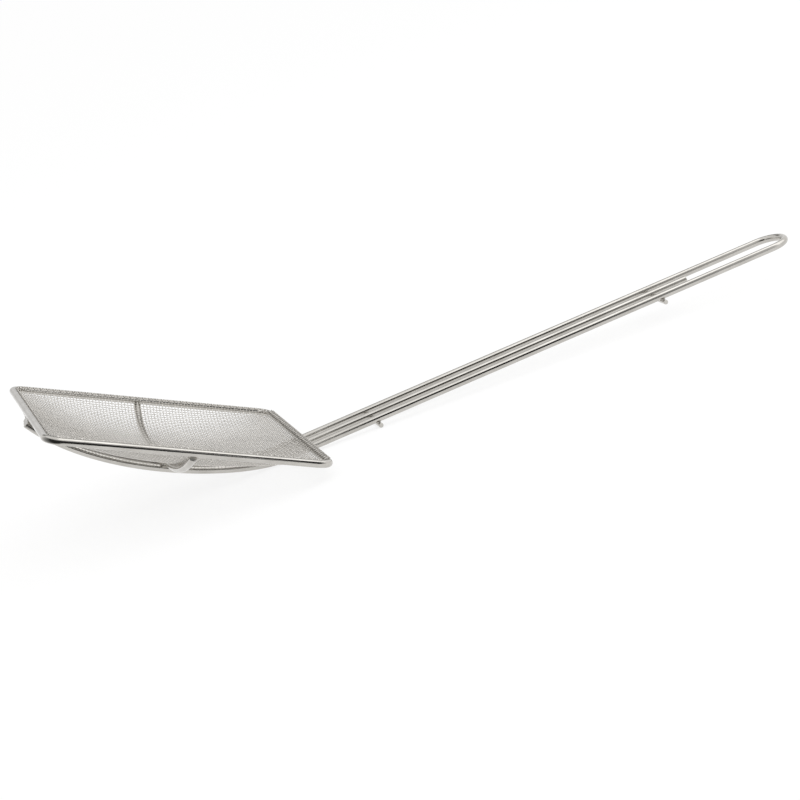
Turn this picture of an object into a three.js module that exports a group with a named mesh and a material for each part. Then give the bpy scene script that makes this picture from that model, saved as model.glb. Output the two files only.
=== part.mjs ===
// Square skimmer: a shallow bowl of wire cloth in a square wire rim, carried on three wires that run
// under the bowl and on into the handle. The outer two are one hairpin, whose turn is the hanging loop.
// It is set down as it rests on a table, on the bend of the runners and on the lower cross wire.
// The pieces are laid out in the rim's frame: X to the handle, Z square to the rim, origin at its middle.

import * as THREE from 'three';

// Driving dimensions, in millimetres and degrees

const CLEARANCE = 0.3; // between pieces that are welded to one another

const MAIN_WIRE = 4.76; // rim, runners and handle
const CROSS_WIRE = 3.05; // the two wires across the underside of the handle

const RIM_SIDE = 177.8; // outside of the square
const CORNER_RADIUS = 9.5; // to the middle of the rim wire

const HANDLE_LENGTH = 352.5; // from the rim to the tip of the loop
const HANDLE_SLOPE = 28.6; // above the plane of the rim
const LEG_PITCH = 13.7; // from each handle wire to the next
const CENTRE_WIRE_STOP = 75; // the centre wire ends this far short of the loop's tip
const LOWER_CROSS = 49.3; // from the rim to the cross wires, along the handle
const UPPER_CROSS = 254;
const CROSS_OVERHANG = 1.2; // cross wires past the outer legs

const BEND_START = 14.4; // straight stretch of handle wire under the bowl
const BEND_ARM = 31.6; // length of the runner's curve control at the handle
const FRONT_STRAIGHT = 4.8; // straight stretch at the front, inside the rim
const FRONT_ARM = 54.7; // length of the runner's curve control at the front
const FRONT_OVERHANG = 1; // runners past the middle of the front rim wire
const FRONT_TRIM_SKEW = 7; // the runners' ends are cut along a line at this angle to the rim

const BOWL_WIRE_PLACE = -1; // the wire across the bowl's underside, from the middle of the rim
const BOWL_WIRE_SKEW = 1.7; // it lies a little askew
const BOWL_WIRE_SLOPE = 35; // its rise where it meets the rim
const BOWL_WIRE_AIM = 2; // its ends point this far under the middle of the rim wire
const BOWL_LENGTH_POWER = 2.4; // the dish rises more roundly to the front and rear than along the bowl wire

const CLOTH_THICKNESS = 1;
const CLOTH_GAPS = 17; // along each side
const CLOTH_BAR = 1.6; // width of the bars between the gaps
const HEM_REACH = 1.4; // from the edge of the bowl to the hem on the rim wire
const HEM_BORDER = 1.6; // plain border round the gaps
const HEM_LOW = 5; // the hem is turned up against the inside of the rim wire, between these angles
const HEM_HIGH = 18;

// Facets
const WIRE_SIDES = 16;
const CROSS_SIDES = 16;
const CORNER_STEPS = 5;
const RUNNER_STEPS = 16;
const LOOP_STEPS = 14;
const BOWL_WIRE_STEPS = 32;
const HEM_STEPS = 2;

// Finishes
const WIRE_FINISH = { color: 0xcfccc5, metalness: 1, roughness: 0.2 };
const CLOTH_FINISH = { color: 0xbfbdb7, metalness: 1, roughness: 0.4 };

// Sizes that follow from the driving ones

const slope = THREE.MathUtils.degToRad(HANDLE_SLOPE);
const rimHalf = (RIM_SIDE - MAIN_WIRE) / 2;
const wireSeat = MAIN_WIRE + CLEARANCE; // between the middles of two main wires that touch
const loopCentre = HANDLE_LENGTH - MAIN_WIRE / 2 - LEG_PITCH;

/** A route through stations, which a sweep follows from station to station. */
class Route extends THREE.Curve {
  constructor(stations) {
    super();
    this.stations = stations;
  }

  getPoint(t, target = new THREE.Vector3()) {
    const place = t * (this.stations.length - 1);
    const index = Math.min(Math.floor(place), this.stations.length - 2);
    return target.lerpVectors(this.stations[index], this.stations[index + 1], place - index);
  }

  getUtoTmapping(u) {
    return u;
  }
}

/** Even values from low to high, both included. */
function spread(low, high, steps) {
  return Array.from({ length: steps + 1 }, (_, step) => THREE.MathUtils.lerp(low, high, step / steps));
}

/** A closed solid of one section along an open route. */
function sweep(section, stations) {
  return new THREE.ExtrudeGeometry(section, {
    steps: stations.length - 1,
    bevelEnabled: false,
    extrudePath: new Route(stations),
  });
}

/** A round section with flats above, below and at the sides. */
function roundSection(diameter, sides) {
  const corners = Array.from({ length: sides }, (_, side) => {
    const angle = ((side + 0.5) / sides) * 2 * Math.PI;
    return new THREE.Vector2(Math.cos(angle), Math.sin(angle)).multiplyScalar(diameter / 2);
  });
  return new THREE.Shape(corners);
}

function piece(name, geometry, finish) {
  const mesh = new THREE.Mesh(geometry, new THREE.MeshStandardMaterial(finish));
  mesh.name = name;
  return mesh;
}

/** Spots of a rounded square with their outward directions, anticlockwise from the first stop on side +X. */
function squareLoop(half, radius, stops) {
  const side = stops.map((stop) => ({
    spot: new THREE.Vector2(half, stop),
    outward: new THREE.Vector2(1, 0),
  }));
  const corner = spread(0, Math.PI / 2, CORNER_STEPS).map((angle) => {
    const outward = new THREE.Vector2(Math.cos(angle), Math.sin(angle));
    const spot = new THREE.Vector2(half - radius, half - radius).addScaledVector(outward, radius);
    return { spot, outward };
  });
  const middle = new THREE.Vector2();
  return [0, 1, 2, 3].flatMap((quarter) =>
    [...side, ...corner].map(({ spot, outward }) => ({
      spot: spot.clone().rotateAround(middle, (quarter * Math.PI) / 2),
      outward: outward.clone().rotateAround(middle, (quarter * Math.PI) / 2),
    })),
  );
}

// Rim: one wire bent into a square and butt welded

function rimFrame() {
  const loop = squareLoop(rimHalf, CORNER_RADIUS, [0]).map(
    ({ spot }) => new THREE.Vector3(spot.x, spot.y, 0),
  );
  const route = new Route([...loop, loop[0]]);
  return new THREE.TubeGeometry(route, loop.length, MAIN_WIRE / 2, WIRE_SIDES, true);
}

// Handle wires: straight under the rear rim, bent into runners under the bowl, welded under the front rim

/** A point of the handle's plane: along it from its seat under the rear rim, and across it. */
function onHandle(along, across) {
  const seatX = rimHalf + wireSeat * Math.sin(slope);
  const seatZ = -wireSeat * Math.cos(slope);
  return new THREE.Vector3(seatX + along * Math.cos(slope), across, seatZ + along * Math.sin(slope));
}

/** A point of the runners' front run, which rises to its seat under the front rim as the handle does. */
function onFront(along, across) {
  const mirrored = onHandle(along, across);
  return mirrored.setX(-mirrored.x);
}

/** Stations of one runner from its cut end at the front to where the wire is straight behind the bowl. */
function runner(across) {
  const overhang = FRONT_OVERHANG - across * Math.tan(THREE.MathUtils.degToRad(FRONT_TRIM_SKEW));
  const pastSeat = (overhang - wireSeat * Math.sin(slope)) / Math.cos(slope);
  const curve = new THREE.CubicBezierCurve3(
    onFront(-FRONT_STRAIGHT, across),
    onFront(-FRONT_STRAIGHT - FRONT_ARM, across),
    onHandle(-BEND_START - BEND_ARM, across),
    onHandle(-BEND_START, across),
  );
  return [onFront(pastSeat, across), ...curve.getPoints(RUNNER_STEPS)];
}

function handleHairpin() {
  const near = runner(-LEG_PITCH);
  const far = runner(LEG_PITCH).reverse();
  const turn = spread(-Math.PI / 2, Math.PI / 2, LOOP_STEPS).map((angle) =>
    onHandle(loopCentre + LEG_PITCH * Math.cos(angle), LEG_PITCH * Math.sin(angle)),
  );
  return sweep(roundSection(MAIN_WIRE, WIRE_SIDES), [...near, ...turn, ...far]);
}

function handleCentreWire() {
  const stations = [...runner(0), onHandle(HANDLE_LENGTH - CENTRE_WIRE_STOP, 0)];
  return sweep(roundSection(MAIN_WIRE, WIRE_SIDES), stations);
}

const crossDrop = MAIN_WIRE / 2 + CLEARANCE + CROSS_WIRE / 2;

function crossWire() {
  const length = 2 * (LEG_PITCH + MAIN_WIRE / 2 + CROSS_OVERHANG);
  return new THREE.CylinderGeometry(CROSS_WIRE / 2, CROSS_WIRE / 2, length, CROSS_SIDES);
}

// Bowl wire: it lies across the runners and rises to the inside of the near and far rim wires

/** Height of a runner's middle at a place along the rim's X. */
function runnerHeight(x) {
  const stations = runner(0);
  const next = stations.findIndex((station) => station.x > x);
  const [before, after] = [stations[next - 1], stations[next]];
  return THREE.MathUtils.mapLinear(x, before.x, after.x, before.z, after.z);
}

const endSlope = THREE.MathUtils.degToRad(BOWL_WIRE_SLOPE);
const endReach = MAIN_WIRE / 2 + CLEARANCE;
const bowlWireHalf = rimHalf - endReach * Math.cos(endSlope) + BOWL_WIRE_AIM * Math.sin(endSlope);
const bowlWireEndDrop = endReach * Math.sin(endSlope) + BOWL_WIRE_AIM * Math.cos(endSlope);
const bowlWireDepth = -runnerHeight(BOWL_WIRE_PLACE) - wireSeat;
const bowlWireRise = bowlWireDepth - bowlWireEndDrop;
const risePower = (bowlWireHalf * Math.tan(endSlope)) / bowlWireRise;

function bowlWireHeight(across) {
  return bowlWireRise * Math.abs(across / bowlWireHalf) ** risePower - bowlWireDepth;
}

function bowlCrossWire() {
  const stations = spread(-bowlWireHalf, bowlWireHalf, BOWL_WIRE_STEPS).map(
    (across) => new THREE.Vector3(0, across, bowlWireHeight(across)),
  );
  return sweep(roundSection(MAIN_WIRE, WIRE_SIDES), stations);
}

// Bowl: wire cloth pressed into a shallow dish on the bowl wire, with its hem turned up inside the rim wire

const hemRadius = MAIN_WIRE / 2 + CLEARANCE + CLOTH_THICKNESS / 2;
const bowlHalf = rimHalf - hemRadius - HEM_REACH;
const edgeSlope = Math.atan(Math.tan(endSlope) * (bowlHalf / bowlWireHalf) ** (risePower - 1));
const bowlLip = -bowlWireHeight(bowlHalf) - hemRadius / Math.cos(edgeSlope);
const bowlDepth = bowlWireDepth - hemRadius - bowlLip;

/** A point of the dish and its normal: it falls from the lip along X, and along Y as the bowl wire does. */
function onBowl(x, y) {
  const fall = (place, power) => 1 - Math.abs(place / bowlHalf) ** power;
  const steepness = (place, power) =>
    ((Math.sign(place) * power) / bowlHalf) * Math.abs(place / bowlHalf) ** (power - 1);
  const [fallX, fallY] = [fall(x, BOWL_LENGTH_POWER), fall(y, risePower)];
  return {
    point: new THREE.Vector3(x, y, -bowlLip - bowlDepth * fallX * fallY),
    normal: new THREE.Vector3(
      -bowlDepth * steepness(x, BOWL_LENGTH_POWER) * fallY,
      -bowlDepth * steepness(y, risePower) * fallX,
      1,
    ).normalize(),
  };
}

/** A closed sheet of even thickness over four-cornered cells; an edge with one cell gets a wall. */
function thickSheet(corners, cells, thickness) {
  const face = (side) =>
    corners.flatMap(({ point, normal }) =>
      point.clone().addScaledVector(normal, (side * thickness) / 2).toArray(),
    );
  const edgesOf = (cell) => cell.map((from, index) => [from, cell[(index + 1) % cell.length]]);
  const known = new Set(cells.flatMap(edgesOf).map(([from, to]) => `${from} ${to}`));
  const under = corners.length;
  const triangles = [];
  const addFace = (a, b, c, d) => triangles.push(a, b, c, a, c, d);
  for (const cell of cells) {
    const [a, b, c, d] = cell;
    addFace(a, b, c, d);
    addFace(d + under, c + under, b + under, a + under);
    for (const [from, to] of edgesOf(cell)) {
      if (!known.has(`${to} ${from}`)) addFace(from + under, to + under, to, from);
    }
  }
  const geometry = new THREE.BufferGeometry();
  geometry.setAttribute('position', new THREE.Float32BufferAttribute([...face(1), ...face(-1)], 3));
  geometry.setIndex(triangles);
  geometry.computeVertexNormals();
  return geometry;
}

function meshBowl() {
  const corners = [];
  const cells = [];
  const addCorner = (corner) => corners.push(corner) - 1;

  const borderInset = rimHalf - bowlHalf + HEM_BORDER;
  const netHalf = rimHalf - borderInset;
  const pitch = (2 * netHalf) / CLOTH_GAPS;
  const barEdges = spread(1, CLOTH_GAPS - 1, CLOTH_GAPS - 2).flatMap((bar) => [
    bar * pitch - netHalf - CLOTH_BAR / 2,
    bar * pitch - netHalf + CLOTH_BAR / 2,
  ]);

  // Bars: the lines between the gaps, both ways; a cell is open where neither a row nor a column has a bar
  const lines = [-netHalf, ...barEdges, netHalf];
  const placed = new Map();
  const onNet = (x, y) => {
    const key = `${x.toFixed(3)} ${y.toFixed(3)}`;
    if (!placed.has(key)) placed.set(key, addCorner(onBowl(x, y)));
    return placed.get(key);
  };
  for (let column = 0; column < lines.length - 1; column += 1) {
    for (let row = 0; row < lines.length - 1; row += 1) {
      if (column % 2 === 0 && row % 2 === 0) continue;
      const [left, right] = [lines[column], lines[column + 1]];
      const [low, high] = [lines[row], lines[row + 1]];
      cells.push([onNet(left, low), onNet(right, low), onNet(right, high), onNet(left, high)]);
    }
  }

  // Border and hem: loops from the edge of the net over the lip and up the inside of the rim wire
  const loopAt = (inset) => squareLoop(rimHalf - inset, CORNER_RADIUS - inset, barEdges);
  const border = loopAt(borderInset).map(({ spot }) => onNet(spot.x, spot.y));
  const edge = loopAt(rimHalf - bowlHalf).map(({ spot }) => addCorner(onBowl(spot.x, spot.y)));
  const hem = spread(HEM_LOW, HEM_HIGH, HEM_STEPS).map((degrees) => {
    const angle = THREE.MathUtils.degToRad(degrees);
    return loopAt(hemRadius * Math.cos(angle)).map(({ spot, outward }) =>
      addCorner({
        point: new THREE.Vector3(spot.x, spot.y, hemRadius * Math.sin(angle)),
        normal: new THREE.Vector3(
          -outward.x * Math.cos(angle),
          -outward.y * Math.cos(angle),
          Math.sin(angle),
        ),
      }),
    );
  });
  const loops = [border, edge, ...hem];
  for (let ring = 0; ring < loops.length - 1; ring += 1) {
    loops[ring].forEach((inner, index) => {
      const next = (index + 1) % loops[ring].length;
      cells.push([inner, loops[ring + 1][index], loops[ring + 1][next], loops[ring][next]]);
    });
  }
  return thickSheet(corners, cells, CLOTH_THICKNESS);
}

// Assembly in the rim's frame

const handle = new THREE.Group();
handle.position.copy(onHandle(0, 0));
handle.rotation.y = -slope;
for (const [name, along] of [
  ['lower_cross_wire', LOWER_CROSS],
  ['upper_cross_wire', UPPER_CROSS],
]) {
  const wire = piece(name, crossWire(), WIRE_FINISH);
  wire.position.set(along, 0, -crossDrop);
  handle.add(wire);
}

const bowlWire = piece('bowl_cross_wire', bowlCrossWire(), WIRE_FINISH);
bowlWire.position.x = BOWL_WIRE_PLACE;
bowlWire.rotation.z = THREE.MathUtils.degToRad(BOWL_WIRE_SKEW);

const assembly = new THREE.Group();
assembly.add(
  piece('rim_frame', rimFrame(), WIRE_FINISH),
  piece('mesh_bowl', meshBowl(), CLOTH_FINISH),
  bowlWire,
  piece('handle_hairpin', handleHairpin(), WIRE_FINISH),
  piece('handle_centre_wire', handleCentreWire(), WIRE_FINISH),
  handle,
);

// Rest: turned until the runners and the lower cross wire lie on the table

/** Slope of the line that touches a runner's station and the lower cross wire from below. */
function tableSlope(station) {
  const cross = onHandle(LOWER_CROSS, 0);
  const reachX = cross.x + crossDrop * Math.sin(slope) - station.x;
  const reachZ = cross.z - crossDrop * Math.cos(slope) - station.z;
  const thinner = (MAIN_WIRE - CROSS_WIRE) / 2;
  return Math.atan2(reachZ, reachX) + Math.asin(thinner / Math.hypot(reachX, reachZ));
}

assembly.rotation.y = Math.max(...runner(0).map(tableSlope));

const skimmer = new THREE.Group();
skimmer.add(assembly);

const box = new THREE.Box3().setFromObject(skimmer, true);
const middle = box.getCenter(new THREE.Vector3());
assembly.position.set(-middle.x, -middle.y, -box.min.z);

export default skimmer;
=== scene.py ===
"""Square wire skimmer: a dish of woven wire cloth in a wire rim, on three wires that become the handle.

The wires are laid out in the rim's own frame, with X to the handle, Z square to the rim and the origin
at the rim's middle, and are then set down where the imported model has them. Lengths are in metres.
"""

from __future__ import annotations

import logging
import math
from dataclasses import dataclass, field
from enum import Enum
from typing import Callable, Iterable, Mapping, Optional, Sequence, Union

import bpy
from mathutils import Matrix, Vector

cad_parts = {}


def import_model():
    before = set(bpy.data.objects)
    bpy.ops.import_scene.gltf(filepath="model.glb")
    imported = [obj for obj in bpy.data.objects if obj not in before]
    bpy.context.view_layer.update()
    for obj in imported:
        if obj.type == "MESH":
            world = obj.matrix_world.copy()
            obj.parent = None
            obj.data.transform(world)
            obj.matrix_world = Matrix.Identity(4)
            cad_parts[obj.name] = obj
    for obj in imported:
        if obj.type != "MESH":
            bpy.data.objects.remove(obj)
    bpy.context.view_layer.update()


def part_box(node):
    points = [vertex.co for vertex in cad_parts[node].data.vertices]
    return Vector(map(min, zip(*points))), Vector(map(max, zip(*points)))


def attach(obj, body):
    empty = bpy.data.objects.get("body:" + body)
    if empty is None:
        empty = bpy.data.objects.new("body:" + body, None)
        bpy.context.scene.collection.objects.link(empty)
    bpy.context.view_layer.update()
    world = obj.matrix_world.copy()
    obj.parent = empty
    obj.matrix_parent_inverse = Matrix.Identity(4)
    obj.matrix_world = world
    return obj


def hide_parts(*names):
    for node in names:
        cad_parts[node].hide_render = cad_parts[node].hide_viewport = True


LOG = logging.getLogger("skimmer")
BODY = "root"
MM = 0.001
WIRE_GAUGE = 4.76 * MM
NOISE_MIDDLE = 0.5

Colour = tuple[float, float, float, float]
Value = Union["Socket", float, int, bool, str, Sequence[float], bpy.types.ID]
Key = Union[str, int]
Settings = Optional[Mapping[str, object]]
Inputs = Optional[Mapping[Key, Value]]


class Slot(Enum):
    """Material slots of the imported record."""

    WIRE = "plated_wire"
    CLOTH = "wire_cloth"


class Lay(Enum):
    """The two ways that the wires of the cloth run."""

    WARP = 0
    WEFT = 1


# Node trees


def single(operation: str) -> Callable[[Socket], Socket]:
    """A method of Socket that adds a Math node on the socket's value."""
    return lambda value: value.math(operation, value)


def pair(operation: str) -> Callable[[Socket, Value], Socket]:
    """A method of Socket that adds a Math node on the socket's value and another."""
    return lambda value, other: value.math(operation, value, other)


class Socket:
    """An output socket on which operators add the Math nodes of an expression."""

    def __init__(self, graph: Graph, link: bpy.types.NodeSocket) -> None:
        """Keep the socket and the graph that its expressions are added to."""
        self.graph = graph
        self.link = link

    def math(self, operation: str, *values: Value) -> Socket:
        """Add one Math node.

        Args:
            operation: name of the node's operation.
            values: its operands, in order.

        Returns:
            The node's result.
        """
        return self.graph.add("ShaderNodeMath", {"operation": operation}, dict(enumerate(values)))

    __add__ = pair("ADD")
    __sub__ = pair("SUBTRACT")
    __mul__ = pair("MULTIPLY")
    __truediv__ = pair("DIVIDE")
    __pow__ = pair("POWER")
    __abs__ = single("ABSOLUTE")
    __gt__ = pair("GREATER_THAN")
    least = pair("MINIMUM")
    most = pair("MAXIMUM")
    sin = single("SINE")
    cos = single("COSINE")
    root = single("SQRT")
    bearing = pair("ARCTAN2")

    def __rsub__(self, other: Value) -> Socket:
        """The other value less this one."""
        return self.math("SUBTRACT", other, self)

    def __neg__(self) -> Socket:
        """The value with its sign turned."""
        return self.math("MULTIPLY", self, -1)


class Graph:
    """A node tree that nodes are added to by type, settings and inputs."""

    def __init__(self, tree: bpy.types.NodeTree) -> None:
        """Keep the tree."""
        self.tree = tree

    def node(self, kind: str, settings: Settings = None, inputs: Inputs = None) -> bpy.types.Node:
        """Add one node.

        Args:
            kind: the node's type.
            settings: its properties, set before its sockets.
            inputs: values or links of its sockets, by name or place.

        Returns:
            The node.
        """
        node = self.tree.nodes.new(kind)
        for name, value in (settings or {}).items():
            setattr(node, name, value)
        for key, value in (inputs or {}).items():
            if isinstance(value, Socket):
                self.tree.links.new(value.link, node.inputs[key])
            else:
                node.inputs[key].default_value = value
        return node

    def add(self, kind: str, settings: Settings = None, inputs: Inputs = None, output: Key = 0) -> Socket:
        """Add one node and take one of its outputs.

        Args:
            kind: the node's type.
            settings: its properties.
            inputs: values or links of its sockets.
            output: name or place of the output.

        Returns:
            That output.
        """
        return Socket(self, self.node(kind, settings, inputs).outputs[output])

    def mix(self, factor: Value, first: Value, second: Value) -> Socket:
        """Mix two colours.

        Args:
            factor: share of the second colour.
            first: colour at 0.
            second: colour at 1.

        Returns:
            The mixed colour.
        """
        return self.add("ShaderNodeMix", {"data_type": "RGBA"}, {0: factor, 6: first, 7: second}, 2)

    def noise(self, place: Socket, size: float, detail: float = 2.0) -> Socket:
        """Noise between 0 and 1.

        Args:
            place: coordinates in metres.
            size: width of its patches.
            detail: octaves of finer noise.

        Returns:
            Its value.
        """
        return self.add("ShaderNodeTexNoise", {}, {"Vector": place, "Scale": 1 / size, "Detail": detail})

    def place(self) -> Socket:
        """The Object coordinates, in metres."""
        return self.add("ShaderNodeTexCoord", {}, {}, "Object")

    def mark(self, mark: WireMark, output: str) -> Socket:
        """A value kept on the points of a wire, for its finish."""
        return self.add("ShaderNodeAttribute", {"attribute_name": mark.value}, {}, output)

    def bump(self, height: Socket, depth: float, strength: float) -> Socket:
        """The normal of a surface with a fine relief."""
        inputs = {"Strength": strength, "Distance": depth, "Height": height}
        return self.add("ShaderNodeBump", {}, inputs)

    def vector(self, x: Value, y: Value, z: Value) -> Socket:
        """A vector of three values."""
        return self.add("ShaderNodeCombineXYZ", {}, {0: x, 1: y, 2: z})

    def axes(self, vector: Socket) -> tuple[Socket, Socket, Socket]:
        """The three values of a vector."""
        node = self.node("ShaderNodeSeparateXYZ", {}, {0: vector})
        return tuple(Socket(self, output) for output in node.outputs)


class ShapeTree(Graph):
    """A Geometry Nodes tree with named inputs."""

    SOCKETS = {
        float: "NodeSocketFloat",
        int: "NodeSocketInt",
        bpy.types.Mesh: "NodeSocketGeometry",
        bpy.types.Material: "NodeSocketMaterial",
    }

    def __init__(self, name: str, inputs: Mapping[str, type]) -> None:
        """Make the tree with its inputs.

        Args:
            name: the tree's name.
            inputs: type of each named input.
        """
        super().__init__(bpy.data.node_groups.new(name, "GeometryNodeTree"))
        panel = self.tree.interface
        self.keys: dict[str, str] = {}
        for label, kind in inputs.items():
            socket = panel.new_socket(label, in_out="INPUT", socket_type=self.SOCKETS[kind])
            self.keys[label] = socket.identifier
        panel.new_socket("Mesh", in_out="OUTPUT", socket_type="NodeSocketGeometry")
        self.group_in = self.tree.nodes.new("NodeGroupInput")
        self.group_out = self.tree.nodes.new("NodeGroupOutput")

    def take(self, label: str) -> Socket:
        """One of the named inputs."""
        return Socket(self, self.group_in.outputs[label])

    def thicken(self, path: Socket, girth: Value, crease: float) -> Socket:
        """Sweep a round section along a path, and keep where a point is along and round the wire.

        Args:
            path: the path's curves.
            girth: scale of the section along the path.
            crease: edges over this angle stay sharp.

        Returns:
            The wire's mesh.
        """
        length = self.add("GeometryNodeSplineParameter", {}, {}, "Length")
        path = self.store(path, WireMark.RUN, "FLOAT", length)
        ring = self.add(
            "GeometryNodeCurvePrimitiveCircle",
            {},
            {"Resolution": self.take("Sides"), "Radius": self.take("Gauge") / 2},
        )
        ring = self.store(ring, WireMark.ROUND, "FLOAT_VECTOR", self.add("GeometryNodeInputPosition"))
        wire = self.add(
            "GeometryNodeCurveToMesh",
            {},
            {"Curve": path, "Profile Curve": ring, "Scale": girth, "Fill Caps": True},
        )
        angle = self.add("GeometryNodeInputMeshEdgeAngle")
        return self.add(
            "GeometryNodeSetShadeSmooth",
            {"domain": "EDGE"},
            {"Geometry": self.smooth(wire), "Selection": angle > crease, "Shade Smooth": False},
        )

    def smooth(self, shape: Socket) -> Socket:
        """Shade the faces of a shape smooth."""
        inputs = {"Geometry": shape, "Shade Smooth": True}
        return self.add("GeometryNodeSetShadeSmooth", {"domain": "FACE"}, inputs)

    def store(self, shape: Socket, mark: WireMark, kind: str, value: Socket) -> Socket:
        """Keep a value on the points of a shape under a name."""
        return self.add(
            "GeometryNodeStoreNamedAttribute",
            {"data_type": kind, "domain": "POINT"},
            {"Geometry": shape, "Name": mark.value, "Value": value},
        )

    def named(self, mark: WireMark, kind: str) -> Socket:
        """A value kept on the points of a shape."""
        return self.add("GeometryNodeInputNamedAttribute", {"data_type": kind}, {"Name": mark.value})

    def end(self, shape: Socket) -> None:
        """Realize the shape, give it the finish and send it out."""
        shape = self.add("GeometryNodeRealizeInstances", {}, {"Geometry": shape})
        finish = self.take("Finish")
        shape = self.add("GeometryNodeSetMaterial", {}, {"Geometry": shape, "Material": finish})
        self.tree.links.new(shape.link, self.group_out.inputs[0])

    def make(self, name: str, start: bpy.types.Mesh, place: Matrix, **values: object) -> bpy.types.Object:
        """Run the tree and keep its result as a plain mesh.

        Args:
            name: the piece's name.
            start: mesh that the tree starts from.
            place: where the result is set down.
            values: the tree's inputs, with spaces in their names as underscores.

        Returns:
            The piece, at the origin, with its place in its mesh.
        """
        former = bpy.data.objects.new(name + "_former", start)
        bpy.context.scene.collection.objects.link(former)
        modifier = former.modifiers.new(name, "NODES")
        modifier.node_group = self.tree
        for label, value in values.items():
            modifier[self.keys[label.replace("_", " ")]] = value
        former.update_tag()
        former_now = former.evaluated_get(bpy.context.evaluated_depsgraph_get())
        mesh = bpy.data.meshes.new_from_object(former_now)
        former.modifiers.clear()
        bpy.data.objects.remove(former)
        mesh.name = name
        mesh.transform(place)
        piece = bpy.data.objects.new(name, mesh)
        bpy.context.scene.collection.objects.link(piece)
        return piece


class WireMark(Enum):
    """Values kept on the points of a wire."""

    RUN = "wire_run"
    ROUND = "wire_round"
    GIRTH = "girth"
    CROWN = "wire_crown"
    WASTE = "waste"
    TURN = "bead_turn"
    SIZE = "bead_size"


# Finishes


def blank_material(name: str) -> tuple[bpy.types.Material, Graph]:
    """A new material and its empty graph."""
    material = bpy.data.materials.new(name)
    material.use_nodes = True
    material.node_tree.nodes.clear()
    return material, Graph(material.node_tree)


class Finish:
    """A node material on a Principled shader."""

    name: str

    def coat(self, graph: Graph) -> dict[str, Value]:
        """The shader's inputs, as nodes of the graph."""
        raise NotImplementedError

    def material(self) -> bpy.types.Material:
        """Make the material."""
        made, graph = blank_material(self.name)
        shader = graph.add("ShaderNodeBsdfPrincipled", {}, self.coat(graph))
        graph.node("ShaderNodeOutputMaterial", {}, {"Surface": shader})
        return made


@dataclass(frozen=True)
class PlatedWire(Finish):
    """Bright nickel plate on drawn steel wire: cloudy in broad patches, with faint lines along the wire."""

    name: str = "nickel_plated_wire"
    bright: Colour = (0.58, 0.562, 0.53, 1.0)
    cloudy: Colour = (0.49, 0.472, 0.44, 1.0)
    cloud_size: float = 14 * MM
    cloud_detail: int = 4
    cloud_share: float = 0.75
    speck_size: float = 1.3 * MM
    clear_level: float = 0.36
    contrast: float = 3.2
    gloss: float = 0.09
    dulling: float = 0.1
    line_size: float = 0.35 * MM
    line_stretch: float = 0.02
    line_depth: float = 0.02 * MM
    line_strength: float = 0.35
    line_dulling: float = 0.05

    def coat(self, graph: Graph) -> dict[str, Value]:
        """Clouds and specks in colour and gloss, and drawing lines in the surface."""
        place = graph.place()
        clouds = graph.noise(place, self.cloud_size, self.cloud_detail)
        specks = graph.noise(place, self.speck_size)
        mottle = clouds * self.cloud_share + specks * (1 - self.cloud_share)
        dull = ((mottle - self.clear_level) * self.contrast).most(0).least(1)
        run = graph.mark(WireMark.RUN, "Fac")
        across, up, _ = graph.axes(graph.mark(WireMark.ROUND, "Vector"))
        lines = graph.noise(graph.vector(across, up, run * self.line_stretch), self.line_size)
        return {
            "Base Color": graph.mix(dull, self.bright, self.cloudy),
            "Metallic": 1.0,
            "Roughness": dull * self.dulling + lines * self.line_dulling + self.gloss,
            "Normal": graph.bump(lines, self.line_depth, self.line_strength),
        }


@dataclass(frozen=True)
class ClothWire(Finish):
    """Plated wire of the cloth, with a painted highlight on its crowns, where the wires cross, and painted
    shade between them.
    """

    name: str = "nickel_plated_cloth"
    # The crown colour is a painted highlight on the wires' tops, and the dip colour is painted shade
    # between them.
    crown_highlight: Colour = (0.80, 0.774, 0.733, 1.0)
    dip_shade: Colour = (0.42, 0.404, 0.378, 1.0)
    cloud_size: float = 9 * MM
    cloud_detail: int = 3
    cloud_share: float = 0.35
    gloss: float = 0.24
    dulling: float = 0.2

    def coat(self, graph: Graph) -> dict[str, Value]:
        """Painted highlights on the crowns and painted shade between them, under thin clouds."""
        place = graph.place()
        clouds = graph.noise(place, self.cloud_size, self.cloud_detail)
        crown_highlight = graph.mark(WireMark.CROWN, "Fac")
        # Share of painted shade: full in the dips and none on the crowns. The dips are also rougher.
        dull = (1 - crown_highlight + (clouds - NOISE_MIDDLE) * self.cloud_share).most(0).least(1)
        return {
            "Base Color": graph.mix(dull, self.crown_highlight, self.dip_shade),
            "Metallic": 1.0,
            "Roughness": dull * self.dulling + self.gloss,
        }


@dataclass(frozen=True)
class WeldMetal(Finish):
    """Plated weld metal, squeezed out between two wires: rough and a little darker."""

    name: str = "nickel_plated_weld"
    bright: Colour = (0.66, 0.645, 0.615, 1.0)
    pitted: Colour = (0.40, 0.385, 0.36, 1.0)
    pit_size: float = 0.5 * MM
    pit_detail: int = 3
    pit_level: float = 0.45
    contrast: float = 4.0
    gloss: float = 0.28
    dulling: float = 0.2
    pit_depth: float = 0.08 * MM
    pit_strength: float = 0.5

    def coat(self, graph: Graph) -> dict[str, Value]:
        """Pits in colour, gloss and surface."""
        place = graph.place()
        pits = graph.noise(place, self.pit_size, self.pit_detail)
        deep = ((pits - self.pit_level) * self.contrast).most(0).least(1)
        return {
            "Base Color": graph.mix(deep, self.bright, self.pitted),
            "Metallic": 1.0,
            "Roughness": deep * self.dulling + self.gloss,
            "Normal": graph.bump(pits, self.pit_depth, self.pit_strength),
        }


# Paths and trees


def spread(low: float, high: float, steps: int) -> list[float]:
    """Even values from low to high, both included."""
    return [low + (high - low) * step / steps for step in range(steps + 1)]


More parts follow.
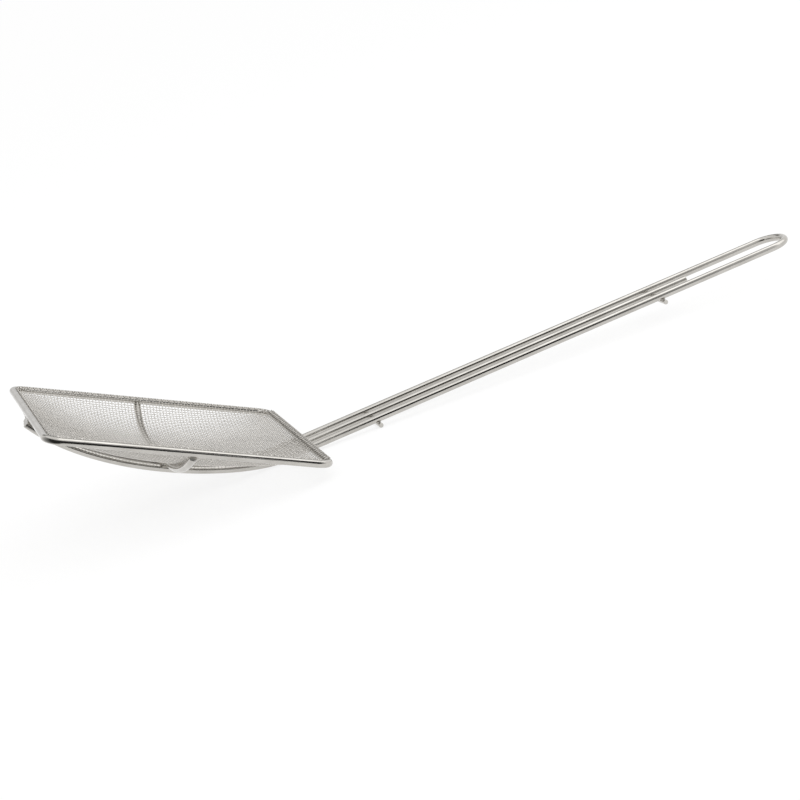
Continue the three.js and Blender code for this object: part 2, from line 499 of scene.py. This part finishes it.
def filled(points: Sequence[Vector], step: float) -> list[Vector]:
    """The same path with points added, so that none is further than a step from the next."""
    path = [points[0]]
    for before, after in zip(points, points[1:]):
        parts = math.ceil((after - before).length / step)
        path.extend(before.lerp(after, part / parts) for part in range(1, parts + 1))
    return path


def bezier(knots: Sequence[Vector], share: float) -> Vector:
    """The point at a share of a Bezier curve."""
    degree = len(knots) - 1
    point = Vector()
    for index, knot in enumerate(knots):
        weight = math.comb(degree, index) * share**index * (1 - share) ** (degree - index)
        point += weight * knot
    return point


def path_mesh(name: str, points: Sequence[Vector], closed: bool, girth: Sequence[float]) -> bpy.types.Mesh:
    """A mesh of edges along a path.

    Args:
        name: the mesh's name.
        points: the path, in order.
        closed: whether the last point joins the first.
        girth: scale of the wire at each point.

    Returns:
        The mesh, with the girth on its points.
    """
    mesh = bpy.data.meshes.new(name)
    edges = [(index, index + 1) for index in range(len(points) - 1)]
    if closed:
        edges.append((len(points) - 1, 0))
    mesh.from_pydata(points, edges, [])
    mark = mesh.attributes.new(WireMark.GIRTH.value, "FLOAT", "POINT")
    mark.data.foreach_set("value", girth)
    return mesh


class DrawnWire(ShapeTree):
    """Tree that thickens a path into a round wire."""

    CREASE = math.radians(40)

    def __init__(self) -> None:
        """Build the tree."""
        super().__init__(
            "drawn_wire",
            {"Path": bpy.types.Mesh, "Gauge": float, "Sides": int, "Finish": bpy.types.Material},
        )
        curve = self.add("GeometryNodeMeshToCurve", {}, {"Mesh": self.take("Path")})
        self.end(self.thicken(curve, self.named(WireMark.GIRTH, "FLOAT"), self.CREASE))


class WovenWires(ShapeTree):
    """Tree that weaves the wires of one lay of the cloth and presses them into the dish and its hem.

    A wire starts flat. Its place is measured from a rounded square, the edge of the dish: inside it the
    cloth sinks into the dish, and past it the cloth rises to the rim wire and curls round its inside,
    and on the rear side further over it.
    """

    CREASE = math.radians(75)
    SNIP_SIZE = 3 * MM
    REAR_FACING = 0.95
    TINY = 1e-6

    def __init__(self) -> None:
        """Build the tree."""
        lengths = ("Pitch", "First Wire", "Gauge", "Half", "Corner", "Depth", "Lip")
        powers = ("Length Power", "Side Power")
        hem = ("Hem Rise", "Hem Reach", "Hem Radius", "Hem Low", "Hem End", "Rear Fold", "Ragged")
        super().__init__(
            "woven_wires",
            {
                **dict.fromkeys(("Wires", "Crossings", "Steps", "Sides", "Lay"), int),
                **dict.fromkeys(lengths + powers + hem, float),
                "Finish": bpy.types.Material,
            },
        )
        flat = self.flat_wires()
        u, v, _ = self.axes(self.add("GeometryNodeInputPosition"))
        lay = self.take("Lay")
        u, v = u + (v - u) * lay, v + (u - v) * lay
        crimp = self.crimp(u, v, lay)
        place, past_edge, rearward = self.pressed(u, v, crimp)
        hem_end = self.take("Hem End") + (rearward > self.REAR_FACING) * self.take("Rear Fold")
        ragged = self.noise(self.vector(u, v, 0.0), self.SNIP_SIZE, detail=0) - NOISE_MIDDLE
        waste = past_edge + ragged * self.take("Ragged") > hem_end
        # How high a wire rides on its crown. The cloth's finish turns this into a painted highlight and
        # painted shade.
        flat = self.store(flat, WireMark.CROWN, "FLOAT", abs(crimp) * 2 / self.take("Gauge"))
        flat = self.store(flat, WireMark.WASTE, "FLOAT", waste)
        cloth = self.add("GeometryNodeSetPosition", {}, {"Geometry": flat, "Position": place})
        cloth = self.add(
            "GeometryNodeDeleteGeometry",
            {"domain": "POINT"},
            {"Geometry": cloth, "Selection": self.named(WireMark.WASTE, "FLOAT")},
        )
        self.end(self.thicken(self.add("GeometryNodeMeshToCurve", {}, {"Mesh": cloth}), 1.0, self.CREASE))

    def flat_wires(self) -> Socket:
        """Straight wires side by side, in steps that are shares of a crossing."""
        pitch = self.take("Pitch")
        crossings = self.take("Crossings")
        half = crossings * pitch / 2
        steps = self.take("Steps")
        first = self.vector(0.0, self.take("First Wire"), 0.0)
        step = self.vector(pitch / steps, 0.0, 0.0)
        line = self.row(crossings * steps + 1, self.vector(-half, 0.0, 0.0), step)
        rows = self.row(self.take("Wires"), first, self.vector(0.0, pitch, 0.0))
        laid = self.add("GeometryNodeInstanceOnPoints", {}, {"Points": rows, "Instance": line})
        return self.add("GeometryNodeRealizeInstances", {}, {"Geometry": laid})

    def row(self, count: Socket, start: Socket, step: Socket) -> Socket:
        """Points in a straight row."""
        inputs = {"Count": count, "Start Location": start, "Offset": step}
        return self.add("GeometryNodeMeshLine", {}, inputs)

    def crimp(self, u: Socket, v: Socket, lay: Socket) -> Socket:
        """How far a wire passes over or under the wires that it crosses."""
        turns = (u + v) / self.take("Pitch") + self.take("Crossings")
        side = 1 - lay * 2
        return (turns * math.pi).cos() * side * self.take("Gauge") / 2

    def pressed(self, u: Socket, v: Socket, crimp: Socket) -> tuple[Socket, Socket, Socket]:
        """Press flat cloth into the dish, its lip and its hem.

        Args:
            u: flat place along X.
            v: flat place along Y.
            crimp: how far the wire lies above the cloth's middle.

        Returns:
            The pressed place, how far past the edge of the dish it is, measured on the cloth, and how far
            the way out of the dish points to the rear there, from -1 to 1.
        """
        half, corner, lip = self.take("Half"), self.take("Corner"), self.take("Lip")
        radius, rise = self.take("Hem Radius"), self.take("Hem Rise")
        core = half - corner
        core_u, core_v = u.least(core).most(-core), v.least(core).most(-core)
        out_u, out_v = u - core_u, v - core_v
        out = (out_u * out_u + out_v * out_v).root().most(self.TINY)
        past_edge = out - corner
        climb = (past_edge / rise).most(0).least(1)
        angle = (past_edge - rise).most(0) / radius + self.take("Hem Low")
        shift = climb * (self.take("Hem Reach") - radius * angle.cos())
        tilt = climb * (math.pi / 2 - angle)
        held = out.least(corner)
        moved = (held + shift - tilt.sin() * crimp) / out
        sunk = self.fall(core_u + out_u * held / out, "Length Power")
        sunk = sunk * self.fall(core_v + out_v * held / out, "Side Power")
        height = climb * (radius * angle.sin() + lip) - lip - self.take("Depth") * sunk + tilt.cos() * crimp
        return self.vector(core_u + out_u * moved, core_v + out_v * moved, height), past_edge, out_u / out

    def fall(self, place: Socket, power: str) -> Socket:
        """Share of the dish's depth at a place along one side, by the input that holds its power."""
        return 1 - (abs(place) / self.take("Half")).least(1) ** self.take(power)


class WeldBeads(ShapeTree):
    """Tree that sets a bead of weld metal on each point, turned and sized as the point says."""

    FINENESS = 4
    LUMP_SIZE = 1.1 * MM
    LUMP_HEIGHT = 0.16 * MM

    def __init__(self) -> None:
        """Build the tree."""
        super().__init__("weld_beads", {"Seats": bpy.types.Mesh, "Finish": bpy.types.Material})
        ball = self.add("GeometryNodeMeshIcoSphere", {}, {"Radius": 1.0, "Subdivisions": self.FINENESS})
        turn = self.named(WireMark.TURN, "FLOAT_VECTOR")
        set_down = self.add(
            "GeometryNodeInstanceOnPoints",
            {},
            {
                "Points": self.take("Seats"),
                "Instance": ball,
                "Rotation": self.add("FunctionNodeEulerToRotation", {}, {0: turn}),
                "Scale": self.named(WireMark.SIZE, "FLOAT_VECTOR"),
            },
        )
        beads = self.add("GeometryNodeRealizeInstances", {}, {"Geometry": set_down})
        lump = self.noise(self.add("GeometryNodeInputPosition"), self.LUMP_SIZE, detail=1) - NOISE_MIDDLE
        normal = self.add("GeometryNodeInputNormal")
        push = self.add(
            "ShaderNodeVectorMath",
            {"operation": "SCALE"},
            {"Vector": normal, "Scale": lump * self.LUMP_HEIGHT},
        )
        beads = self.add("GeometryNodeSetPosition", {}, {"Geometry": beads, "Offset": push})
        self.end(self.smooth(beads))


# Sub-assemblies


@dataclass
class Shop:
    """What the sub-assemblies share: where the rim is, the trees and the finishes."""

    place: Matrix
    drawn_wire: DrawnWire
    woven_wires: WovenWires
    weld_beads: WeldBeads
    wire_finish: bpy.types.Material
    cloth_finish: bpy.types.Material
    weld_finish: bpy.types.Material

    WIRE_SIDES = 32
    WIRE_STEP = 4 * MM
    END_STEPS = ((0.0, 0.86), (0.12 * MM, 0.95), (0.4 * MM, 1.0), (0.6 * MM, 1.0))

    def wire(
        self, name: str, points: Sequence[Vector], gauge: float, closed: bool = False
    ) -> bpy.types.Object:
        """A round wire along a path, with its cut ends eased.

        Args:
            name: the piece's name.
            points: the path in the rim's frame.
            gauge: the wire's diameter.
            closed: whether the path is a ring.

        Returns:
            The wire.
        """
        path = filled(points, self.WIRE_STEP)
        girth = [1.0] * len(path)
        if not closed:
            path, girth = self.eased(path)
        start = path_mesh(name + "_path", path, closed, girth)
        return self.drawn_wire.make(
            name, start, self.place, Gauge=gauge, Sides=self.WIRE_SIDES, Finish=self.wire_finish
        )

    def eased(self, path: Sequence[Vector]) -> tuple[list[Vector], list[float]]:
        """A path with extra points near its ends, where the wire narrows to its cut.

        Args:
            path: the path.

        Returns:
            The new path and the wire's scale at its points.
        """
        head, tail = [], []
        for inset, scale in self.END_STEPS:
            head.append((path[0] + (path[1] - path[0]).normalized() * inset, scale))
            tail.append((path[-1] + (path[-2] - path[-1]).normalized() * inset, scale))
        body = [(point, 1.0) for point in path[1:-1]]
        whole = head + body + tail[::-1]
        return [point for point, _ in whole], [scale for _, scale in whole]


class Assembly:
    """A part of the skimmer that makes its own pieces."""

    def build(self, shop: Shop) -> dict[bpy.types.Object, str]:
        """Make the pieces.

        Args:
            shop: shared tools.

        Returns:
            Each piece and the node that it stands for.
        """
        raise NotImplementedError


@dataclass
class Seat:
    """Where two wires are welded: the spot, the way from one to the other, and the bead's half sizes."""

    spot: Vector
    towards: Vector
    along: Vector
    size: tuple[float, float, float]

    MAIN_BEAD = (1.75 * MM, 1.75 * MM, 0.95 * MM)
    CROSS_BEAD = (1.35 * MM, 1.35 * MM, 0.75 * MM)
    END_BEAD = (2.3 * MM, 2.3 * MM, 0.7 * MM)


@dataclass
class RimWire(Assembly):
    """One wire bent into a square, butt welded."""

    gauge: float
    side: float
    corner: float = 9.5 * MM
    corner_steps: int = 24

    @property
    def half(self) -> float:
        """From the middle of the rim to the middle of its wire."""
        return (self.side - self.gauge) / 2

    def route(self) -> list[Vector]:
        """The middle of the wire, corner by corner."""
        core = self.half - self.corner
        points = []
        for quarter in range(4):
            turn = Matrix.Rotation(quarter * math.pi / 2, 3, "Z")
            for angle in spread(0, math.pi / 2, self.corner_steps):
                bend = Vector((math.cos(angle), math.sin(angle), 0))
                points.append(turn @ (Vector((core, core, 0)) + self.corner * bend))
        return points

    def build(self, shop: Shop) -> dict[bpy.types.Object, str]:
        """Make the rim."""
        return {shop.wire("rim_wire", self.route(), self.gauge, closed=True): "rim_frame"}


@dataclass
class HandleWires(Assembly):
    """The hairpin and the centre wire, which run on as runners under the bowl, and their cross wires."""

    rim: RimWire
    clearance: float = 0.3 * MM
    cross_gauge: float = 3.05 * MM
    length: float = 352.5 * MM
    slope: float = math.radians(28.6)
    pitch: float = 13.7 * MM
    centre_stop: float = 75 * MM
    lower_cross: float = 49.3 * MM
    upper_cross: float = 254 * MM
    cross_overhang: float = 1.2 * MM
    bend_start: float = 14.4 * MM
    bend_arm: float = 31.6 * MM
    front_straight: float = 4.8 * MM
    front_arm: float = 54.7 * MM
    front_overhang: float = 1.0 * MM
    front_skew: float = math.radians(7)
    bead_share: float = 0.6
    bend_steps: int = 72
    loop_steps: int = 40

    @property
    def seat(self) -> float:
        """Between the middles of two main wires that are welded together."""
        return self.rim.gauge + self.clearance

    @property
    def cross_drop(self) -> float:
        """From the middle of a handle wire to the middle of a cross wire."""
        return (self.rim.gauge + self.cross_gauge) / 2 + self.clearance

    def on_handle(self, along: float, across: float, drop: float = 0.0) -> Vector:
        """A point of the handle, from its seat under the rear rim wire.

        Args:
            along: distance up the handle.
            across: distance to the far side.
            drop: distance under the handle's plane.

        Returns:
            The point in the rim's frame.
        """
        run = Vector((math.cos(self.slope), 0, math.sin(self.slope)))
        down = Vector((math.sin(self.slope), 0, -math.cos(self.slope)))
        return Vector((self.rim.half, across, 0)) + run * along + down * (self.seat + drop)

    def on_front(self, along: float, across: float) -> Vector:
        """A point of the runners' front run, which rises to the front rim wire as the handle does."""
        point = self.on_handle(along, across)
        return Vector((-point.x, point.y, point.z))

    def front_end(self, across: float) -> float:
        """Where a runner is cut off at the front, along its front run from its seat under the rim wire."""
        overhang = self.front_overhang - across * math.tan(self.front_skew)
        return (overhang - self.seat * math.sin(self.slope)) / math.cos(self.slope)

    def runner(self, across: float) -> list[Vector]:
        """One runner, from its cut end at the front to where the wire is straight again."""
        knots = (
            self.on_front(-self.front_straight, across),
            self.on_front(-self.front_straight - self.front_arm, across),
            self.on_handle(-self.bend_start - self.bend_arm, across),
            self.on_handle(-self.bend_start, across),
        )
        bend = [bezier(knots, share) for share in spread(0, 1, self.bend_steps)]
        return [self.on_front(self.front_end(across), across), *bend]

    def runner_height(self, x: float) -> float:
        """Height of a runner's middle at a place under the bowl."""
        stations = self.runner(0.0)
        after = next(index for index, station in enumerate(stations) if station.x > x)
        low, high = stations[after - 1], stations[after]
        return low.z + (high.z - low.z) * (x - low.x) / (high.x - low.x)

    def hairpin(self) -> list[Vector]:
        """The outer wire, from one cut end round the loop to the other."""
        centre = self.length - self.rim.gauge / 2 - self.pitch
        turn = [
            self.on_handle(centre + self.pitch * math.cos(angle), self.pitch * math.sin(angle))
            for angle in spread(-math.pi / 2, math.pi / 2, self.loop_steps)
        ]
        return [*self.runner(-self.pitch), *turn, *reversed(self.runner(self.pitch))]

    def cross(self, along: float) -> list[Vector]:
        """A wire across the underside of the handle."""
        reach = self.pitch + self.rim.gauge / 2 + self.cross_overhang
        return [self.on_handle(along, side * reach, self.cross_drop) for side in spread(-1, 1, 4)]

    def seats(self) -> list[Seat]:
        """The welds to the rim and to the cross wires."""
        run = (self.on_handle(1, 0) - self.on_handle(0, 0)).normalized()
        down = (self.on_handle(0, 0, 1) - self.on_handle(0, 0)).normalized()
        front_run = Vector((-run.x, 0, run.z))
        front_down = Vector((-down.x, 0, down.z))
        half_gap = (self.rim.gauge + self.clearance) / 2
        made = []
        for across in (-self.pitch, 0.0, self.pitch):
            made.append(Seat(self.on_handle(0, across) - down * half_gap, down, run, Seat.MAIN_BEAD))
            front = self.on_front(min(0.0, self.front_end(across)) * self.bead_share, across)
            made.append(Seat(front - front_down * half_gap, front_down, front_run, Seat.MAIN_BEAD))
            for along in (self.lower_cross, self.upper_cross):
                spot = self.on_handle(along, across) + down * half_gap
                made.append(Seat(spot, down, run, Seat.CROSS_BEAD))
        return made

    def build(self, shop: Shop) -> dict[bpy.types.Object, str]:
        """Make the handle's wires."""
        centre = [*self.runner(0.0), self.on_handle(self.length - self.centre_stop, 0.0)]
        lower = self.cross(self.lower_cross)
        upper = self.cross(self.upper_cross)
        return {
            shop.wire("handle_loop_wire", self.hairpin(), self.rim.gauge): "handle_hairpin",
            shop.wire("handle_middle_wire", centre, self.rim.gauge): "handle_centre_wire",
            shop.wire("handle_lower_cross", lower, self.cross_gauge): "lower_cross_wire",
            shop.wire("handle_upper_cross", upper, self.cross_gauge): "upper_cross_wire",
        }


@dataclass
class BowlWire(Assembly):
    """The wire under the bowl, which lies across the runners and rises to the rim on both sides."""

    rim: RimWire
    handle: HandleWires
    place: float = -1.0 * MM
    skew: float = math.radians(1.7)
    slope: float = math.radians(35)
    aim: float = 2 * MM
    steps: int = 72

    @property
    def end_reach(self) -> float:
        """From the middle of the rim wire to the wire's cut end."""
        return self.rim.gauge / 2 + self.handle.clearance

    @property
    def half(self) -> float:
        """From the middle of the wire to its cut end, across the bowl."""
        return self.rim.half - self.end_reach * math.cos(self.slope) + self.aim * math.sin(self.slope)

    @property
    def depth(self) -> float:
        """Depth of its middle under the plane of the rim."""
        return -self.handle.runner_height(self.place) - self.handle.seat

    @property
    def rise(self) -> float:
        """From its middle up to its ends."""
        return self.depth - self.end_reach * math.sin(self.slope) - self.aim * math.cos(self.slope)

    @property
    def power(self) -> float:
        """Power of its rise across the bowl."""
        return self.half * math.tan(self.slope) / self.rise

    def height(self, across: float) -> float:
        """Height of its middle at a place across the bowl."""
        return self.rise * abs(across / self.half) ** self.power - self.depth

    def route(self) -> list[Vector]:
        """The middle of the wire, from the near rim to the far rim."""
        turn = Matrix.Rotation(self.skew, 3, "Z")
        across = spread(-self.half, self.half, self.steps)
        return [Vector((self.place, 0, 0)) + turn @ Vector((0, y, self.height(y))) for y in across]

    def seats(self) -> list[Seat]:
        """The welds to the runners and to the rim."""
        route = self.route()
        down = Vector((0, 0, -1))
        made = []
        for across in (-self.handle.pitch, 0.0, self.handle.pitch):
            spot = Vector((self.place - across * math.tan(self.skew), across, self.height(across)))
            made.append(Seat(spot + down * self.handle.seat / 2, down, Vector((1, 0, 0)), Seat.MAIN_BEAD))
        for end, before in ((route[0], route[1]), (route[-1], route[-2])):
            made.append(Seat(end, (end - before).normalized(), Vector((1, 0, 0)), Seat.END_BEAD))
        return made

    def build(self, shop: Shop) -> dict[bpy.types.Object, str]:
        """Make the wire."""
        return {shop.wire("bowl_wire", self.route(), self.rim.gauge): "bowl_cross_wire"}


@dataclass
class WovenBowl(Assembly):
    """Plain woven wire cloth, pressed into a dish, with its hem against the inside of the rim wire."""

    rim: RimWire
    bowl_wire: BowlWire
    pitch: float = 25.4 * MM / 12
    gauge: float = 0.48 * MM
    length_power: float = 2.4
    sides: int = 6
    steps: int = 4
    thickness: float = 1.0 * MM
    hem_reach: float = 1.4 * MM
    hem_gap: float = 0.03 * MM
    hem_low: float = math.radians(5)
    hem_high: float = math.radians(65)
    rear_high: float = math.radians(95)
    ragged: float = 0.15 * MM

    @property
    def seat(self) -> float:
        """From the middle of a main wire to the middle of the cloth that lies on it."""
        return self.rim.gauge / 2 + self.bowl_wire.handle.clearance + self.thickness / 2

    @property
    def hem_radius(self) -> float:
        """From the middle of the rim wire to the middle of the hem, which is drawn tight round it."""
        return self.rim.gauge / 2 + self.gauge + self.hem_gap

    @property
    def half(self) -> float:
        """From the middle of the dish to its edge."""
        return self.rim.half - self.seat - self.hem_reach

    @property
    def lip(self) -> float:
        """From the plane of the rim down to the edge of the dish, which clears the bowl wire."""
        wire = self.bowl_wire
        slope = math.atan(math.tan(wire.slope) * (self.half / wire.half) ** (wire.power - 1))
        return -wire.height(self.half) - self.seat / math.cos(slope)

    @property
    def hem_rise(self) -> float:
        """Length of cloth from the edge of the dish to where the hem meets the rim wire."""
        out = self.hem_reach + self.seat - self.hem_radius * math.cos(self.hem_low)
        return math.hypot(out, self.lip + self.hem_radius * math.sin(self.hem_low))

    def build(self, shop: Shop) -> dict[bpy.types.Object, str]:
        """Weave the cloth, each lay in two pieces."""
        hem_end = self.hem_rise + self.hem_radius * (self.hem_high - self.hem_low)
        rear_fold = self.hem_radius * (self.rear_high - self.hem_high)
        crossings = 2 * math.ceil((self.half + hem_end + rear_fold) / self.pitch)
        wires = crossings + 1
        shares = ((0, wires // 2), (wires // 2, wires))
        names = {
            Lay.WARP: ("cloth_warp_near", "cloth_warp_far"),
            Lay.WEFT: ("cloth_weft_front", "cloth_weft_rear"),
        }
        made = {}
        for lay, pair in names.items():
            for name, (first, last) in zip(pair, shares):
                piece = shop.woven_wires.make(
                    name,
                    bpy.data.meshes.new(name + "_start"),
                    shop.place,
                    Wires=last - first,
                    Crossings=crossings,
                    Steps=self.steps,
                    Sides=self.sides,
                    Lay=lay.value,
                    Pitch=self.pitch,
                    First_Wire=(first - crossings / 2) * self.pitch,
                    Gauge=self.gauge,
                    Half=self.half,
                    Corner=self.rim.corner - self.seat - self.hem_reach,
                    Depth=self.bowl_wire.depth - self.seat - self.lip,
                    Lip=self.lip,
                    Length_Power=self.length_power,
                    Side_Power=self.bowl_wire.power,
                    Hem_Rise=self.hem_rise,
                    Hem_Reach=self.hem_reach + self.seat,
                    Hem_Radius=self.hem_radius,
                    Hem_Low=self.hem_low,
                    Hem_End=hem_end,
                    Rear_Fold=rear_fold,
                    Ragged=self.ragged,
                    Finish=shop.cloth_finish,
                )
                made[piece] = "mesh_bowl"
        return made


@dataclass
class Welds:
    """The beads of metal that the welds squeeze out between the wires."""

    seats: Iterable[Seat]

    def build(self, shop: Shop) -> bpy.types.Object:
        """Make the beads, in one piece.

        Args:
            shop: shared tools.

        Returns:
            The piece.
        """
        seats = list(self.seats)
        mesh = bpy.data.meshes.new("weld_seats")
        mesh.from_pydata([seat.spot for seat in seats], [], [])
        turns, sizes = [], []
        for seat in seats:
            side = seat.towards.cross(seat.along).normalized()
            along = side.cross(seat.towards).normalized()
            turns.extend(Matrix((along, side, seat.towards)).transposed().to_euler())
            sizes.extend(seat.size)
        for mark, values in ((WireMark.TURN, turns), (WireMark.SIZE, sizes)):
            mesh.attributes.new(mark.value, "FLOAT_VECTOR", "POINT").data.foreach_set("vector", values)
        return shop.weld_beads.make("weld_beads", mesh, shop.place, Finish=shop.weld_finish)


# Studio


@dataclass(frozen=True)
class Lamp:
    """A square area lamp that faces the origin."""

    name: str
    spot: tuple[float, float, float]
    size: float
    power: float

    def build(self) -> None:
        """Add the lamp."""
        data = bpy.data.lights.new(self.name, "AREA")
        data.energy = self.power
        data.size = self.size
        holder = bpy.data.objects.new(self.name, data)
        spot = Vector(self.spot)
        holder.matrix_world = Matrix.Translation(spot) @ spot.to_track_quat("Z", "Y").to_matrix().to_4x4()
        bpy.context.scene.collection.objects.link(holder)


@dataclass(frozen=True)
class Flag:
    """A grey curved flag round the object, with soft edges. Its angles are in degrees, from the origin."""

    name: str
    turns: tuple[float, float]
    heights: tuple[float, float]
    soft_turns: tuple[float, float]
    soft_heights: tuple[float, float]
    tone: float
    radius: float = 1.25
    steps: int = 32

    def mesh(self) -> bpy.types.Mesh:
        """A part of a cylinder, standing round the origin."""
        low, high = (self.radius * math.tan(math.radians(height)) for height in self.heights)
        turns = spread(math.radians(self.turns[0]), math.radians(self.turns[1]), self.steps)
        ring = [(self.radius * math.cos(turn), self.radius * math.sin(turn)) for turn in turns]
        points = [(x, y, height) for height in (max(low, 0.0), high) for x, y in ring]
        row = len(ring)
        mesh = bpy.data.meshes.new(self.name)
        mesh.from_pydata(points, [], [(i, i + 1, row + i + 1, row + i) for i in range(self.steps)])
        return mesh

    def colour(self, graph: Graph, surround: Colour) -> Socket:
        """Its tone, which goes over to the surround's at the edges."""
        x, y, z = graph.axes(graph.place())
        middle = math.radians(sum(self.turns) / 2)
        ahead = x * math.cos(middle) + y * math.sin(middle)
        aside = y * math.cos(middle) - x * math.sin(middle)
        cover = None
        for angle, ends, soft in (
            (aside.bearing(ahead) + middle, self.turns, self.soft_turns),
            (z.bearing(self.radius), self.heights, self.soft_heights),
        ):
            degrees = angle * math.degrees(1)
            inside = ((degrees - ends[0]) / soft[0]).least((ends[1] - degrees) / soft[1])
            cover = inside if cover is None else cover.least(inside)
        return graph.mix(cover.most(0).least(1), surround, (self.tone, self.tone, self.tone, 1.0))


@dataclass
class Studio:
    """White floor and surround, soft lamps, grey flags for the metal to mirror, and the camera."""

    place: Matrix
    floor_half: float = 8.0
    shadow_share: float = 0.22
    sky_light: float = 0.95
    lamps: tuple[Lamp, ...] = (
        Lamp("studio_top_lamp", (0.0, 0.0, 1.7), 2.0, 1.5),
        Lamp("studio_key_lamp", (1.0, -0.3, 1.25), 1.8, 7.0),
    )
    flags: tuple[Flag, ...] = (
        Flag("studio_bowl_flag", (-185, -95), (-3, 38), (25, 8), (1, 12), 0.03, radius=0.33),
        Flag("studio_handle_flag", (-95, -18), (-3, 50), (1, 45), (2, 8), 0.02, radius=0.381),
        Flag("studio_back_flag", (55, 125), (-3, 20), (15, 15), (1, 8), 0.72),
        Flag("studio_rear_flag", (40, 130), (24, 52), (15, 15), (8, 8), 0.3),
    )
    eye: Vector = field(default_factory=lambda: Vector((-299.9, -1477.2, 256.5)) * MM)
    aim: Vector = field(default_factory=lambda: Vector((149.4, 0.0, 30.2)) * MM)
    lean: float = math.radians(7.97)
    lens: float = 109.36
    sensor: float = 36.0
    view_end: float = 100.0

    WHITE = (1.0, 1.0, 1.0, 1.0)

    def seen(self, graph: Graph) -> Socket:
        """1 on the rays that see the background: from the camera, or by way of metal or glass."""
        node = graph.node("ShaderNodeLightPath")
        camera, glossy, through = (
            Socket(graph, node.outputs[name])
            for name in ("Is Camera Ray", "Is Glossy Ray", "Is Transmission Ray")
        )
        return camera.most(glossy).most(through)

    def stage(self, name: str, mesh: bpy.types.Mesh, material: bpy.types.Material) -> bpy.types.Object:
        """Add an object of the studio."""
        mesh.materials.append(material)
        obj = bpy.data.objects.new(name, mesh)
        bpy.context.scene.collection.objects.link(obj)
        return obj

    def floor(self) -> None:
        """A white floor that keeps a soft shadow."""
        half = self.floor_half
        mesh = bpy.data.meshes.new("studio_floor")
        corners = [(-half, -half, 0), (half, -half, 0), (half, half, 0), (-half, half, 0)]
        mesh.from_pydata(corners, [], [(0, 1, 2, 3)])
        material, graph = blank_material("studio_white")
        matt = graph.add("ShaderNodeBsdfDiffuse", {}, {"Color": self.WHITE})
        glow = graph.add("ShaderNodeEmission", {}, {"Color": self.WHITE, "Strength": 1.0})
        share = self.seen(graph) * (1 - self.shadow_share)
        mixed = graph.add("ShaderNodeMixShader", {}, {0: share, 1: matt, 2: glow})
        graph.node("ShaderNodeOutputMaterial", {}, {"Surface": mixed})
        self.stage("studio_floor", mesh, material)

    def flag(self, flag: Flag) -> None:
        """Hang a flag, which only the metal sees."""
        material, graph = blank_material(flag.name)
        colour = flag.colour(graph, self.WHITE)
        shade = graph.add("ShaderNodeEmission", {}, {"Color": colour, "Strength": 1.0})
        graph.node("ShaderNodeOutputMaterial", {}, {"Surface": shade})
        hung = self.stage(flag.name, flag.mesh(), material)
        hung.visible_camera = False
        hung.visible_diffuse = False
        hung.visible_transmission = False
        hung.visible_shadow = False

    def light(self) -> None:
        """A white surround and the lamps."""
        world = bpy.data.worlds.new("studio_surround")
        world.use_nodes = True
        world.node_tree.nodes.clear()
        graph = Graph(world.node_tree)
        strength = self.seen(graph) * (1 - self.sky_light) + self.sky_light
        sky = graph.add("ShaderNodeBackground", {}, {"Color": self.WHITE, "Strength": strength})
        graph.node("ShaderNodeOutputWorld", {}, {"Surface": sky})
        bpy.context.scene.world = world
        for lamp in self.lamps:
            lamp.build()

    def camera(self) -> None:
        """The photograph's view: its eye and aim in the rim's frame, and how far the upright leans."""
        forward = (self.aim - self.eye).normalized()
        upright = Vector((0, 0, 1))
        upright = (upright - upright.dot(forward) * forward).normalized()
        side = forward.cross(upright)
        up = upright * math.cos(self.lean) - side * math.sin(self.lean)
        right = forward.cross(up)
        turn = Matrix((right, up, -forward)).transposed().to_4x4()
        data = bpy.data.cameras.new("photo_view")
        data.lens = self.lens
        data.sensor_width = self.sensor
        data.clip_end = self.view_end
        camera = bpy.data.objects.new("photo_view", data)
        camera.matrix_world = self.place @ Matrix.Translation(self.eye) @ turn
        bpy.context.scene.collection.objects.link(camera)
        bpy.context.scene.camera = camera

    def build(self) -> None:
        """Set up the studio."""
        bpy.context.scene.view_settings.view_transform = "Standard"
        self.camera()
        self.floor()
        for flag in self.flags:
            self.flag(flag)
        self.light()


def rim_place(gauge: float) -> tuple[Matrix, float]:
    """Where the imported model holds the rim, worked out from the rim's box.

    Args:
        gauge: diameter of the rim wire.

    Returns:
        The rim's frame, and the outside of its square.
    """
    low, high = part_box("rim_frame")
    span = high - low
    tilt = math.atan2(span.z - gauge, span.x - gauge)
    return Matrix.Translation((low + high) / 2) @ Matrix.Rotation(tilt, 4, "Y"), span.y


def main() -> None:
    """Load the frame, build the skimmer in it and light it."""
    logging.basicConfig(level=logging.INFO, format="%(name)s: %(message)s")
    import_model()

    place, side = rim_place(WIRE_GAUGE)
    shop = Shop(
        place,
        DrawnWire(),
        WovenWires(),
        WeldBeads(),
        PlatedWire().material(),
        ClothWire().material(),
        WeldMetal().material(),
    )
    rim = RimWire(WIRE_GAUGE, side)
    handle = HandleWires(rim)
    bowl_wire = BowlWire(rim, handle)
    bowl = WovenBowl(rim, bowl_wire)

    assemblies = ((rim, Slot.WIRE), (handle, Slot.WIRE), (bowl_wire, Slot.WIRE), (bowl, Slot.CLOTH))
    for assembly, slot in assemblies:
        for piece, node in assembly.build(shop).items():
            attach(piece, BODY)
            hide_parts(node)
            LOG.info("%s stands for %s: %d faces", piece.name, node, len(piece.data.polygons))
    beads = Welds([*handle.seats(), *bowl_wire.seats()]).build(shop)
    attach(beads, BODY)
    LOG.info("%s: %d faces", beads.name, len(beads.data.polygons))

    Studio(place).build()


if __name__ == "__main__":
    main()
